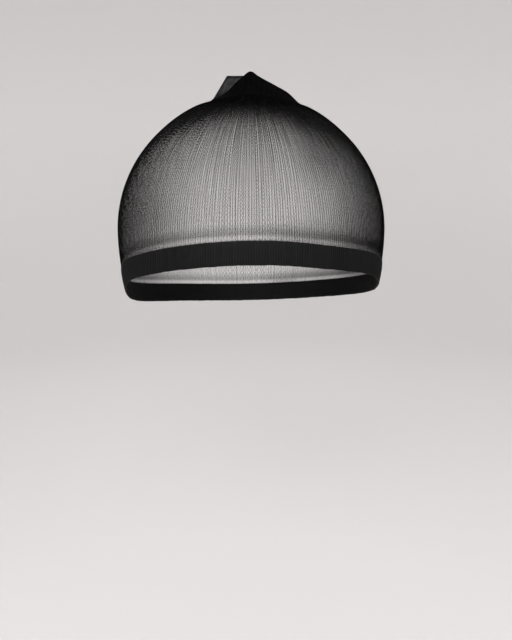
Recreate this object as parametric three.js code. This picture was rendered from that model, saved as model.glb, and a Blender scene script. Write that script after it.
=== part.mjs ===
// A stocking wig cap in the form that it keeps when worn: a sheer knitted crown, a doubled band round
// the open edge, and the closed end gathered into a small upstanding tuft of cloth on top.
// Millimetres, +Z up. The front of the cap faces -Y, and its left side is +X. The origin is inside the
// top of the crown.

import * as THREE from 'three';

const { degToRad, lerp, smoothstep } = THREE.MathUtils;

// The form inside the cap. Its widest level is INSIDE_RISE below its top.
const INSIDE_HALF_WIDTH = 76.5;
const INSIDE_FRONT = 97;
const INSIDE_BACK = 91;
const INSIDE_RISE = 74.9;
const INSIDE_FALL = 110;

// The cloth
const CROWN_WALL = 1;
const BAND_WALL = 1.6;
const BAND_HEIGHT = 11.8;
const BAND_EDGE_ROUND = 0.5;
const PIECE_GAP = 0.3;

// The open edge lies in a slanted plane, high in front and low behind, and a little askew. It dips
// below that plane at the sides, between SIDE_DIP_FRONT and SIDE_DIP_BACK along the cap, and sags a
// little at the left of the front.
const HEM_LEVEL = -35.4;
const HEM_TILT = degToRad(16.7);
const HEM_SKEW = degToRad(1.35);
const SIDE_DIP_RIGHT = 5.5;
const SIDE_DIP_LEFT = 3;
const SIDE_DIP_FRONT = -48;
const SIDE_DIP_BACK = 85;
const FRONT_SAG = 1;
const FRONT_SAG_PLACE = 40;
const FRONT_SAG_REACH = 22;

// The gather: shallow pleats that run out from the foot of the tuft and fade into the smooth crown.
// They start and reach their full depth at these multiples of the tuft's half sizes.
const PLEAT_COUNT = 24;
const PLEAT_DEPTH = 0.8;
const PLEAT_START = 1.05;
const PLEAT_FULL = 1.6;
const GATHER_REACH = 62;

// The tuft: two ruffles with a furrow between them, whose long way lies across the cap.
const TUFT_WIDTH = 50.6;
const TUFT_DEPTH = 24;
const TUFT_HEIGHT = 12.4;
const TUFT_SHIFT = 2.9;
const TUFT_SETBACK = 1.9;
const RUFFLE_THICKNESS = 2;
const FOOT_EDGE = 0.9;

// How full the tuft's plan stays at its ends, how high its ridges begin to round over, and the soft
// folds across its front face
const END_FULLNESS = 0.95;
const RIDGE_SHOULDER = 0.92;
const FACE_FOLDS = 4;
const FACE_FOLD_SHARE = 0.15;
const FACE_FOLD_HEIGHT = 0.45;

// The flap: one layer of cloth that stands up in the furrow at the tuft's right end. Its upper edge is
// level and shifted towards the middle.
const FLAP_WALL = 1;
const FLAP_HEIGHT = 11;
const FLAP_FOOT_WIDTH = 9;
const FLAP_TOP_WIDTH = 11;
const FLAP_TOP_SHIFT = 8.6;
const FLAP_BOW = 1.2;
const FLAP_CLEARANCE = 0.6;

// How finely the faces are divided
const STEPS_ROUND = PLEAT_COUNT * 4;
const CROWN_ROWS = 16;
const FLAP_COLUMNS = 4;
const FLAP_ROWS = 4;

// The tuft's sections from its right end to its left. 'along' is a share of TUFT_WIDTH, the heights
// 'main' and 'rear' are shares of TUFT_HEIGHT, and 'ahead' and 'behind' are how far the two ridges lie
// from the furrow, as shares of the section's half depth.
const RUFFLE_SECTIONS = [
  { along: 0.0, main: 0.06, ahead: 0.3, rear: 0.05, behind: 0.3 },
  { along: 0.07, main: 0.1, ahead: 0.36, rear: 0.07, behind: 0.34 },
  { along: 0.13, main: 0.13, ahead: 0.38, rear: 0.08, behind: 0.4 },
  { along: 0.21, main: 0.36, ahead: 0.41, rear: 0.08, behind: 0.44 },
  { along: 0.28, main: 0.61, ahead: 0.46, rear: 0.1, behind: 0.46 },
  { along: 0.37, main: 0.82, ahead: 0.42, rear: 0.16, behind: 0.44 },
  { along: 0.43, main: 1.0, ahead: 0.3, rear: 0.4, behind: 0.4 },
  { along: 0.52, main: 0.81, ahead: 0.25, rear: 0.6, behind: 0.44 },
  { along: 0.63, main: 0.57, ahead: 0.3, rear: 0.5, behind: 0.52 },
  { along: 0.75, main: 0.4, ahead: 0.46, rear: 0.33, behind: 0.44 },
  { along: 0.86, main: 0.26, ahead: 0.42, rear: 0.18, behind: 0.34 },
  { along: 0.94, main: 0.12, ahead: 0.36, rear: 0.09, behind: 0.3 },
  { along: 1.0, main: 0.06, ahead: 0.3, rear: 0.05, behind: 0.3 },
];

// Finds where a rising function crosses zero between two values.
function crossing(rising, low, high) {
  let below = low;
  let above = high;
  for (let step = 0; step < 50; step += 1) {
    const middle = (below + above) / 2;
    if (rising(middle) < 0) below = middle;
    else above = middle;
  }
  return (below + above) / 2;
}

// A point of the inside form, grown outwards by a thickness. The azimuth is 0 at the left side and the
// latitude is 0 at the widest level.
function formPoint(azimuth, latitude, grown) {
  const acrossRadius = INSIDE_HALF_WIDTH + grown;
  const alongRadius = (Math.sin(azimuth) < 0 ? INSIDE_FRONT : INSIDE_BACK) + grown;
  const upRadius = (latitude < 0 ? INSIDE_FALL : INSIDE_RISE) + grown;
  return new THREE.Vector3(
    acrossRadius * Math.cos(latitude) * Math.cos(azimuth),
    alongRadius * Math.cos(latitude) * Math.sin(azimuth),
    upRadius * Math.sin(latitude) - INSIDE_RISE,
  );
}

// The height of the same grown form over a place in plan, for what stands on top of it.
function formHeight(x, y, grown) {
  const acrossShare = x / (INSIDE_HALF_WIDTH + grown);
  const alongShare = y / ((y < 0 ? INSIDE_FRONT : INSIDE_BACK) + grown);
  const upShare = Math.sqrt(1 - acrossShare ** 2 - alongShare ** 2);
  return (INSIDE_RISE + grown) * upShare - INSIDE_RISE;
}

// How far the open edge dips below its plane at a point.
function hemDip(point) {
  const depth = point.x < 0 ? SIDE_DIP_RIGHT : SIDE_DIP_LEFT;
  const start = smoothstep(point.y, SIDE_DIP_FRONT, 0);
  const end = 1 - smoothstep(point.y, 0, SIDE_DIP_BACK);
  const sagShare = Math.exp(-(((point.x - FRONT_SAG_PLACE) / FRONT_SAG_REACH) ** 2));
  return depth * start * end + (point.y < 0 ? FRONT_SAG * sagShare : 0);
}

// The latitude of the open edge at an azimuth.
function hemLatitude(azimuth) {
  const aboveHem = (latitude) => {
    const point = formPoint(azimuth, latitude, 0);
    const plane = HEM_LEVEL - INSIDE_RISE - Math.tan(HEM_TILT) * point.y + Math.tan(HEM_SKEW) * point.x;
    return point.z - plane + hemDip(point);
  };
  return crossing(aboveHem, -Math.PI / 3, Math.PI / 4);
}

// The latitude that lies a distance above the open edge, measured up the cloth.
function latitudeAboveHem(azimuth, distance) {
  const hem = hemLatitude(azimuth);
  const hemPoint = formPoint(azimuth, hem, 0);
  const pastDistance = (latitude) => formPoint(azimuth, latitude, 0).distanceTo(hemPoint) - distance;
  return crossing(pastDistance, hem, hem + Math.PI / 4);
}

// How far the gather's pleats lift the cloth at a point of the smooth crown.
function pleatLift(azimuth, point) {
  const acrossShare = (point.x - TUFT_SHIFT) / (TUFT_WIDTH / 2);
  const alongShare = (point.y - TUFT_SETBACK) / (TUFT_DEPTH / 2);
  const outOfFoot = smoothstep(Math.hypot(acrossShare, alongShare), PLEAT_START, PLEAT_FULL);
  const fade = 1 - smoothstep(Math.hypot(point.x, point.y), GATHER_REACH / 2, GATHER_REACH);
  const wave = (1 + Math.cos(azimuth * PLEAT_COUNT)) / 2;
  return PLEAT_DEPTH * outOfFoot * fade * wave;
}

function indexedGeometry(points, triangles) {
  const geometry = new THREE.BufferGeometry();
  geometry.setAttribute('position', new THREE.Float32BufferAttribute(points.flatMap((p) => p.toArray()), 3));
  geometry.setIndex(triangles);
  geometry.computeVertexNormals();
  return geometry;
}

// A closed body through a row of rings of points. A ring of one point is a tip. With 'joined' the last
// ring meets the first.
function loftedBody(rings, joined = false) {
  const points = rings.flat();
  const starts = [];
  let count = 0;
  for (const ring of rings) {
    starts.push(count);
    count += ring.length;
  }
  const triangles = [];
  const pairs = joined ? rings.length : rings.length - 1;
  for (let i = 0; i < pairs; i += 1) {
    const next = (i + 1) % rings.length;
    const steps = Math.max(rings[i].length, rings[next].length);
    for (let j = 0; j < steps; j += 1) {
      const here = starts[i] + (j % rings[i].length);
      const hereOn = starts[i] + ((j + 1) % rings[i].length);
      const there = starts[next] + (j % rings[next].length);
      const thereOn = starts[next] + ((j + 1) % rings[next].length);
      if (there !== thereOn) triangles.push(here, there, thereOn);
      if (here !== hereOn) triangles.push(here, thereOn, hereOn);
    }
  }
  return indexedGeometry(points, triangles);
}

// A closed body between the front and back of a leaf of cloth, each a grid of points: rows up, columns
// towards +X.
function leafBody(front, back) {
  const columns = front[0].length;
  const lastRow = front.length - 1;
  const lastColumn = columns - 1;
  const backStart = front.length * columns;
  const at = (row, column) => row * columns + column;
  const triangles = [];
  for (let row = 0; row < lastRow; row += 1) {
    for (let column = 0; column < lastColumn; column += 1) {
      const corners = [at(row, column), at(row, column + 1), at(row + 1, column + 1), at(row + 1, column)];
      const [a, b, c, d] = corners;
      const [e, f, g, h] = corners.map((corner) => corner + backStart);
      triangles.push(a, b, c, a, c, d, e, g, f, e, h, g);
    }
  }
  const upRows = Array.from({ length: lastRow }, (_, row) => row);
  const acrossColumns = Array.from({ length: lastColumn }, (_, column) => column);
  const edge = [
    ...acrossColumns.map((column) => at(0, column)),
    ...upRows.map((row) => at(row, lastColumn)),
    ...acrossColumns.map((column) => at(lastRow, lastColumn - column)),
    ...upRows.map((row) => at(lastRow - row, 0)),
  ];
  edge.forEach((here, place) => {
    const next = edge[(place + 1) % edge.length];
    triangles.push(here, here + backStart, next + backStart, here, next + backStart, next);
  });
  return indexedGeometry([...front.flat(), ...back.flat()], triangles);
}

function azimuths() {
  return Array.from({ length: STEPS_ROUND }, (_, step) => (step / STEPS_ROUND) * Math.PI * 2);
}

// One ring of the crown, a share of the way from its lower edge to the top.
function crownRing(share, grown) {
  return azimuths().map((azimuth) => {
    const lowest = latitudeAboveHem(azimuth, BAND_HEIGHT + PIECE_GAP);
    const latitude = lerp(lowest, Math.PI / 2, share);
    const lift = pleatLift(azimuth, formPoint(azimuth, latitude, 0));
    return formPoint(azimuth, latitude, grown + lift);
  });
}

// The sheer dome: outside from the top down, then inside from the lower edge back up.
function crownGeometry() {
  const shares = Array.from({ length: CROWN_ROWS }, (_, row) => row / CROWN_ROWS);
  const outside = shares.map((share) => crownRing(share, CROWN_WALL)).reverse();
  const inside = shares.map((share) => crownRing(share, 0));
  const top = Math.PI / 2;
  return loftedBody([[formPoint(0, top, CROWN_WALL)], ...outside, ...inside, [formPoint(0, top, 0)]]);
}

// The doubled band: a section with a rounded fold at the open edge, carried round the cap.
function bandGeometry() {
  const section = [
    { height: BAND_HEIGHT, grown: BAND_WALL - BAND_EDGE_ROUND },
    { height: BAND_HEIGHT - BAND_EDGE_ROUND, grown: BAND_WALL },
    { height: BAND_HEIGHT / 2, grown: BAND_WALL },
    { height: BAND_EDGE_ROUND, grown: BAND_WALL },
    { height: 0, grown: BAND_WALL - BAND_EDGE_ROUND },
    { height: 0, grown: BAND_EDGE_ROUND },
    { height: BAND_EDGE_ROUND, grown: 0 },
    { height: BAND_HEIGHT / 2, grown: 0 },
    { height: BAND_HEIGHT, grown: 0 },
  ];
  const rings = section.map(({ height, grown }) =>
    azimuths().map((azimuth) => formPoint(azimuth, latitudeAboveHem(azimuth, height), grown)),
  );
  return loftedBody(rings, true);
}

// The top of the crown's cloth, with the gap that the tuft and the flap keep to it.
function restingHeight(x, y) {
  return formHeight(x, y, CROWN_WALL) + PIECE_GAP;
}

// One section of the tuft across its length: up the front, over the main ridge, down into the furrow,
// over the rear ridge, down the back, and forward again along the crown.
function tuftRing(section) {
  const x = TUFT_SHIFT + (section.along - 0.5) * TUFT_WIDTH;
  const spread = Math.sqrt(1 - (END_FULLNESS * (2 * section.along - 1)) ** 2);
  const halfDepth = (TUFT_DEPTH / 2) * spread;
  const front = TUFT_SETBACK - halfDepth;
  const back = TUFT_SETBACK + halfDepth;
  const mainRidge = TUFT_SETBACK - section.ahead * halfDepth;
  const rearRidge = TUFT_SETBACK + section.behind * halfDepth;
  const shoulder = (RUFFLE_THICKNESS / 2) * spread;
  const floor = (FLAP_WALL / 2 + FLAP_CLEARANCE) * spread;
  const mainTop = section.main * TUFT_HEIGHT;
  const rearTop = section.rear * TUFT_HEIGHT;
  const mainFoot = Math.min(FOOT_EDGE, mainTop);
  const rearFoot = Math.min(FOOT_EDGE, rearTop);
  const foldHeight = lerp(mainFoot, mainTop, FACE_FOLD_HEIGHT);
  const mainShoulder = lerp(mainFoot, mainTop, RIDGE_SHOULDER);
  const rearShoulder = lerp(rearFoot, rearTop, RIDGE_SHOULDER);
  const foldShare = FACE_FOLD_SHARE * Math.cos(section.along * Math.PI * 2 * FACE_FOLDS);
  const outline = [
    { y: front, up: 0 },
    { y: front, up: mainFoot },
    { y: lerp(front, mainRidge, FACE_FOLD_HEIGHT + foldShare), up: foldHeight },
    { y: mainRidge - shoulder, up: mainShoulder },
    { y: mainRidge, up: mainTop },
    { y: mainRidge + shoulder, up: mainShoulder },
    { y: TUFT_SETBACK - floor, up: rearFoot },
    { y: TUFT_SETBACK + floor, up: rearFoot },
    { y: rearRidge - shoulder, up: rearShoulder },
    { y: rearRidge, up: rearTop },
    { y: rearRidge + shoulder, up: rearShoulder },
    { y: back, up: rearFoot },
    { y: back, up: 0 },
    { y: rearRidge, up: 0 },
    { y: mainRidge, up: 0 },
  ];
  return outline.map(({ y, up }) => new THREE.Vector3(x, y, restingHeight(x, y) + up));
}

function middleOf(ring) {
  const sum = ring.reduce((total, point) => total.add(point), new THREE.Vector3());
  return sum.divideScalar(ring.length);
}

function tuftGeometry() {
  const rings = RUFFLE_SECTIONS.map(tuftRing);
  return loftedBody([[middleOf(rings[0])], ...rings, [middleOf(rings.at(-1))]]);
}

// One face of the flap, set back from its middle layer.
function flapFace(setBack) {
  const left = TUFT_SHIFT - TUFT_WIDTH / 2;
  const top = CROWN_WALL + FLAP_HEIGHT;
  return Array.from({ length: FLAP_ROWS + 1 }, (_, row) => {
    const up = row / FLAP_ROWS;
    const y = TUFT_SETBACK + setBack + FLAP_BOW * Math.sin((up * Math.PI) / 2);
    return Array.from({ length: FLAP_COLUMNS + 1 }, (__, column) => {
      const across = column / FLAP_COLUMNS;
      const footX = left + across * FLAP_FOOT_WIDTH;
      const topX = left + FLAP_TOP_SHIFT + across * FLAP_TOP_WIDTH;
      const foot = restingHeight(footX, y) + FOOT_EDGE + PIECE_GAP;
      return new THREE.Vector3(lerp(footX, topX, up), y, lerp(foot, top, up));
    });
  });
}

function flapGeometry() {
  return leafBody(flapFace(-FLAP_WALL / 2), flapFace(FLAP_WALL / 2));
}

const PIECES = [
  { name: 'crown', geometry: crownGeometry(), color: 0x8c8682, roughness: 0.75 },
  { name: 'band', geometry: bandGeometry(), color: 0x222222, roughness: 0.8 },
  { name: 'tuft', geometry: tuftGeometry(), color: 0x0c0c0d, roughness: 0.75 },
  { name: 'tuft_flap', geometry: flapGeometry(), color: 0x3c3b3c, roughness: 0.75 },
];

const wigCap = new THREE.Group();
wigCap.name = 'wig_cap';
for (const { name, geometry, color, roughness } of PIECES) {
  const material = new THREE.MeshStandardMaterial({ color, roughness, metalness: 0 });
  const mesh = new THREE.Mesh(geometry, material);
  mesh.name = name;
  wigCap.add(mesh);
}

export default wigCap;
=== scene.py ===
"""The looks of a stocking wig cap: its sheer knit, doubled band, gathered tuft and see-through flap.

Every length is in metres. +Z is up, the cap's front faces -Y, and its left side is +X. The origin is
inside the top of the crown.
"""

import logging
import math
from dataclasses import dataclass, field
from enum import Enum
from typing import Callable

import bpy
import numpy as np
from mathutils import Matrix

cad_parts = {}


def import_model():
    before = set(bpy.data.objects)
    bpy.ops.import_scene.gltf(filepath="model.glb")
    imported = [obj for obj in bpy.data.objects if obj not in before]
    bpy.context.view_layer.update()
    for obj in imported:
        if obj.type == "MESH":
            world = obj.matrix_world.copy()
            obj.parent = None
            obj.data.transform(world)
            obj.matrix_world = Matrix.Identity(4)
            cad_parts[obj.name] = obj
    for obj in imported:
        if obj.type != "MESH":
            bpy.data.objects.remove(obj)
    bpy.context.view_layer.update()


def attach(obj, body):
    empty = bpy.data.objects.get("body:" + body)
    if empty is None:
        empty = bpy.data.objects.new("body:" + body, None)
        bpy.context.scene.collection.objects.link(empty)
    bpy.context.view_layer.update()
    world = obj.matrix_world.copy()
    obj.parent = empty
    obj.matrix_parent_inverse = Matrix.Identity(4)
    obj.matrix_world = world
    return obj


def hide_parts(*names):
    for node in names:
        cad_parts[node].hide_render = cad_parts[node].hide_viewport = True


Array = np.ndarray
Colour = tuple[float, float, float]
Span = tuple[float, float]

HALVINGS = 40
SHORTEST = 1e-12

log = logging.getLogger("wig_cap")


class Slot(Enum):
    """Names for the material slots of the cap's pieces."""

    SHEER = "sheer_knit"
    BAND = "band_knit"
    GATHERED = "gathered_knit"
    FLAP = "flap_knit"


class Held(Enum):
    """How a piece of the cloth is held."""

    STRETCHED = "stretched"
    FOLDED = "folded"
    GATHERED = "gathered"


class Side(Enum):
    """The half of the cap that a set of wales lies in."""

    FRONT = "front"
    BACK = "back"


def smooth_rise(value: Array, low: float, high: float) -> Array:
    """Rise smoothly from 0 to 1 between two values.

    Args:
        value: The values to look up.
        low: Where the rise starts.
        high: Where it ends.

    Returns:
        A share from 0 to 1 for each value.
    """
    share = np.clip((np.asarray(value) - low) / (high - low), 0, 1)
    return share * share * (3 - 2 * share)


def crossing(rising: Callable[[Array], Array], low: Array, high: Array) -> Array:
    """Find where a rising function crosses zero.

    Args:
        rising: The function, which takes and gives an array.
        low: Where it is still below zero.
        high: Where it is above zero.

    Returns:
        The crossing for each element.
    """
    below = np.array(low, dtype=float)
    above = np.array(high, dtype=float)
    for _ in range(HALVINGS):
        middle = (below + above) / 2
        under = rising(middle) < 0
        below = np.where(under, middle, below)
        above = np.where(under, above, middle)
    return (below + above) / 2


@dataclass(frozen=True)
class CapForm:
    """The form that the cap keeps and the course of its open edge."""

    half_width: float = 0.0765
    front: float = 0.097
    back: float = 0.091
    rise: float = 0.0749
    fall: float = 0.110
    band_height: float = 0.0118
    hem_level: float = -0.0354
    hem_tilt: float = math.radians(16.7)
    hem_skew: float = math.radians(1.35)
    dip_right: float = 0.0055
    dip_left: float = 0.003
    dip_front: float = -0.048
    dip_back: float = 0.085
    sag: float = 0.001
    sag_place: float = 0.040
    sag_reach: float = 0.022

    def point(self, azimuth: Array, latitude: Array, grown: Array) -> Array:
        """Give points of the form, grown outwards.

        Args:
            azimuth: The angle round the cap, 0 at its left side.
            latitude: The angle up from the widest level.
            grown: How far outside the inner form the points lie.

        Returns:
            The points, with x, y and z along the last axis.
        """
        azimuth, latitude, grown = np.broadcast_arrays(azimuth, latitude, grown)
        along = np.where(np.sin(azimuth) < 0, self.front, self.back) + grown
        up = np.where(latitude < 0, self.fall, self.rise) + grown
        x = (self.half_width + grown) * np.cos(latitude) * np.cos(azimuth)
        y = along * np.cos(latitude) * np.sin(azimuth)
        z = up * np.sin(latitude) - self.rise
        return np.stack([x, y, z], axis=-1)

    def outward(self, azimuth: Array, latitude: Array) -> Array:
        """Give the unit direction straight out of the form.

        Args:
            azimuth: The angle round the cap.
            latitude: The angle up from the widest level.

        Returns:
            The directions, with x, y and z along the last axis.
        """
        azimuth, latitude = np.broadcast_arrays(azimuth, latitude)
        along = np.where(np.sin(azimuth) < 0, self.front, self.back)
        up = np.where(latitude < 0, self.fall, self.rise)
        x = np.cos(latitude) * np.cos(azimuth) / self.half_width
        y = np.cos(latitude) * np.sin(azimuth) / along
        z = np.sin(latitude) / up
        return unit(np.stack([x, y, z], axis=-1))

    def around(self, azimuth: Array, latitude: Array) -> Array:
        """Give the unit direction round the form, towards a larger azimuth.

        Args:
            azimuth: The angle round the cap.
            latitude: The angle up from the widest level.

        Returns:
            The directions, with x, y and z along the last axis.
        """
        azimuth, latitude = np.broadcast_arrays(azimuth, latitude)
        along = np.where(np.sin(azimuth) < 0, self.front, self.back)
        x = -self.half_width * np.sin(azimuth)
        y = along * np.cos(azimuth)
        return unit(np.stack([x, y, np.zeros_like(x)], axis=-1))

    def height_over(self, x: Array, y: Array, grown: float) -> Array:
        """Give the height of the grown form over places in plan.

        Args:
            x: The places across the cap.
            y: The places along the cap.
            grown: How far outside the inner form.

        Returns:
            The heights.
        """
        along = np.where(np.asarray(y) < 0, self.front, self.back) + grown
        left = 1 - (x / (self.half_width + grown)) ** 2 - (y / along) ** 2
        return (self.rise + grown) * np.sqrt(left) - self.rise

    def hem_dip(self, point: Array) -> Array:
        """Give how far the open edge dips below its slanted plane.

        Args:
            point: Points of the form.

        Returns:
            The dips.
        """
        x, y = point[..., 0], point[..., 1]
        depth = np.where(x < 0, self.dip_right, self.dip_left)
        side = smooth_rise(y, self.dip_front, 0) * (1 - smooth_rise(y, 0, self.dip_back))
        sag = self.sag * np.exp(-(((x - self.sag_place) / self.sag_reach) ** 2))
        return depth * side + np.where(y < 0, sag, 0)

    def hem_latitude(self, azimuth: Array) -> Array:
        """Give the latitude of the open edge.

        Args:
            azimuth: The angles round the cap.

        Returns:
            The latitudes.
        """

        def above_hem(latitude: Array) -> Array:
            """Give how far points lie above the open edge.

            Args:
                latitude: The latitudes of the points.

            Returns:
                The distances, below zero for points that lie under the edge.
            """
            point = self.point(azimuth, latitude, 0)
            x, y = point[..., 0], point[..., 1]
            slant = -math.tan(self.hem_tilt) * y + math.tan(self.hem_skew) * x
            return point[..., 2] - (self.hem_level - self.rise + slant) + self.hem_dip(point)

        low = np.full_like(azimuth, -math.pi / 3)
        return crossing(above_hem, low, np.full_like(azimuth, math.pi / 4))

    def latitude_above_hem(self, azimuth: Array, distance: float) -> Array:
        """Give the latitude that lies a distance up the cloth from the open edge.

        Args:
            azimuth: The angles round the cap.
            distance: The distance.

        Returns:
            The latitudes.
        """
        hem = self.hem_latitude(azimuth)
        hem_point = self.point(azimuth, hem, 0)

        def past_distance(latitude: Array) -> Array:
            """Give how much further than the distance the points at a latitude lie."""
            gap = self.point(azimuth, latitude, 0) - hem_point
            return np.linalg.norm(gap, axis=-1) - distance

        return crossing(past_distance, hem, hem + math.pi / 4)


@dataclass(frozen=True)
class Gather:
    """The shallow pleats that run out from the foot of the tuft."""

    count: int = 24
    depth: float = 0.0008
    start: float = 1.05
    full: float = 1.6
    reach: float = 0.062
    tuft_width: float = 0.0506
    tuft_depth: float = 0.024
    shift: float = 0.0029
    setback: float = 0.0019

    def from_foot(self, point: Array) -> Array:
        """Give how far points lie from the tuft's middle.

        Args:
            point: The points.

        Returns:
            The distances, as multiples of the tuft's half sizes.
        """
        across = (point[..., 0] - self.shift) / (self.tuft_width / 2)
        along = (point[..., 1] - self.setback) / (self.tuft_depth / 2)
        return np.hypot(across, along)

    def lift(self, azimuth: Array, point: Array) -> Array:
        """Give how far the pleats lift the cloth.

        Args:
            azimuth: The angles round the cap.
            point: The points of the smooth crown there.

        Returns:
            The lifts.
        """
        out_of_foot = smooth_rise(self.from_foot(point), self.start, self.full)
        reached = np.hypot(point[..., 0], point[..., 1])
        fade = 1 - smooth_rise(reached, self.reach / 2, self.reach)
        wave = (1 + np.cos(azimuth * self.count)) / 2
        return self.depth * out_of_foot * fade * wave


def unit(vectors: Array) -> Array:
    """Scale vectors to length 1."""
    return vectors / np.maximum(np.linalg.norm(vectors, axis=-1, keepdims=True), SHORTEST)


@dataclass
class Shape:
    """The points and faces of one closed piece, with values marked on its points."""

    points: Array
    quads: Array
    triangles: Array = field(default_factory=lambda: np.zeros((0, 3), dtype=int))
    marks: dict[str, Array] = field(default_factory=dict)

    def volume(self) -> float:
        """Give the space that the faces shut in.

        Returns:
            The volume, below zero if the faces look inwards.
        """
        first = np.concatenate([self.quads[:, [0, 1, 2]], self.quads[:, [0, 2, 3]], self.triangles])
        a, b, c = (self.points[first[:, corner]] for corner in range(3))
        return float((a * np.cross(b, c)).sum() / 6)

    def facing_out(self) -> "Shape":
        """Turn every face over if they look inwards.

        Returns:
            The shape itself.
        """
        if self.volume() < 0:
            self.quads = self.quads[:, ::-1]
            self.triangles = self.triangles[:, ::-1]
        return self

    def to_object(self, name: str) -> bpy.types.Object:
        """Make a smooth-shaded mesh object of the shape.

        Args:
            name: The object's name.

        Returns:
            The object, linked into the scene.
        """
        corners = np.concatenate([self.quads.ravel(), self.triangles.ravel()])
        starts = np.concatenate(
            [np.arange(len(self.quads)) * 4, self.quads.size + np.arange(len(self.triangles)) * 3]
        )
        mesh = bpy.data.meshes.new(name)
        mesh.vertices.add(len(self.points))
        mesh.vertices.foreach_set("co", self.points.astype(np.float32).ravel())
        mesh.loops.add(len(corners))
        mesh.loops.foreach_set("vertex_index", corners.astype(np.int32))
        mesh.polygons.add(len(starts))
        mesh.polygons.foreach_set("loop_start", starts.astype(np.int32))
        mesh.update(calc_edges=True)
        mesh.validate()
        mesh.polygons.foreach_set("use_smooth", np.ones(len(mesh.polygons), dtype=bool))
        for mark, values in self.marks.items():
            layer = mesh.attributes.new(mark, "FLOAT", "POINT")
            layer.data.foreach_set("value", values.astype(np.float32).ravel())
        made = bpy.data.objects.new(name, mesh)
        bpy.context.scene.collection.objects.link(made)
        return made


def ring_quads(rings: int, steps: int, joined: bool) -> Array:
    """Give the faces between rings of points that follow each other.

    Args:
        rings: How many rings there are.
        steps: How many points each ring has.
        joined: Whether the last ring meets the first.

    Returns:
        One row of four point numbers for each face.
    """
    here = np.arange(rings if joined else rings - 1)[:, None] * steps
    there = (here + steps) % (rings * steps)
    step = np.arange(steps)[None, :]
    after = (step + 1) % steps
    return np.stack([here + step, here + after, there + after, there + step], axis=-1).reshape(-1, 4)


def lofted(rings: Array, joined: bool = False, tips: tuple[Array, Array] | None = None) -> Shape:
    """Close a body through rings of points.

    Args:
        rings: The points, by ring, by step and by x, y and z.
        joined: Whether the last ring meets the first.
        tips: The points before the first ring and past the last one that close the two ends.

    Returns:
        The closed shape, facing outwards.
    """
    count, steps = rings.shape[:2]
    points = rings.reshape(-1, 3)
    quads = ring_quads(count, steps, joined)
    triangles = np.zeros((0, 3), dtype=int)
    if tips is not None:
        step = np.arange(steps)
        after = (step + 1) % steps
        last = (count - 1) * steps
        first_tip = np.full(steps, len(points))
        last_tip = first_tip + 1
        fans = [
            np.stack([first_tip, after, step], axis=-1),
            np.stack([last_tip, last + step, last + after], axis=-1),
        ]
        points = np.concatenate([points, np.stack(tips)])
        triangles = np.concatenate(fans)
    return Shape(points, quads, triangles).facing_out()


def leaf(front: Array, back: Array) -> Shape:
    """Close a leaf of cloth between its two faces.

    Args:
        front: The points of one face, by row, by column and by x, y and z.
        back: The points of the other face.

    Returns:
        The closed shape, facing outwards.
    """
    rows, columns = front.shape[:2]
    edge = np.concatenate(
        [
            np.arange(columns),
            np.arange(1, rows) * columns + columns - 1,
            (rows - 1) * columns + np.arange(columns - 2, -1, -1),
            np.arange(rows - 2, 0, -1) * columns,
        ]
    )
    row, column = np.meshgrid(np.arange(rows - 1), np.arange(columns - 1), indexing="ij")
    corner = (row * columns + column).ravel()
    face = np.stack([corner, corner + 1, corner + columns + 1, corner + columns], axis=-1)
    start = rows * columns
    after = np.roll(edge, -1)
    rim = np.stack([edge, edge + start, after + start, after], axis=-1)
    points = np.concatenate([front.reshape(-1, 3), back.reshape(-1, 3)])
    return Shape(points, np.concatenate([face, face[:, ::-1] + start, rim])).facing_out()


def strands(
    middles: Array, across: Array, outward: Array, half_width: Array, half_depth: Array, looped: bool
) -> Shape:
    """Make many yarns at once, each a closed tube with four sides.

    Args:
        middles: The yarns' middle lines, by yarn, by step and by x, y and z.
        across: The unit direction of each point's width.
        outward: The unit direction of its depth.
        half_width: Half of each point's width.
        half_depth: Half of its depth.
        looped: Whether each yarn meets itself.

    Returns:
        The yarns as one shape.
    """
    count, steps = middles.shape[:2]
    wide = across * np.broadcast_to(half_width, (count, steps))[..., None]
    deep = outward * np.broadcast_to(half_depth, (count, steps))[..., None]
    sides = np.stack([middles + wide, middles + deep, middles - wide, middles - deep], axis=2)
    yarn = np.arange(count)[:, None] * steps * 4
    quads = ring_quads(steps, 4, looped)
    faces = [(yarn[..., None] + quads[None]).reshape(-1, 4)]
    if not looped:
        first = np.array([[3, 2, 1, 0]])
        last = (steps - 1) * 4 + np.array([[0, 1, 2, 3]])
        faces += [(yarn[..., None] + cap[None]).reshape(-1, 4) for cap in (first, last)]
    return Shape(sides.reshape(-1, 3), np.concatenate(faces)).facing_out()


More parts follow.
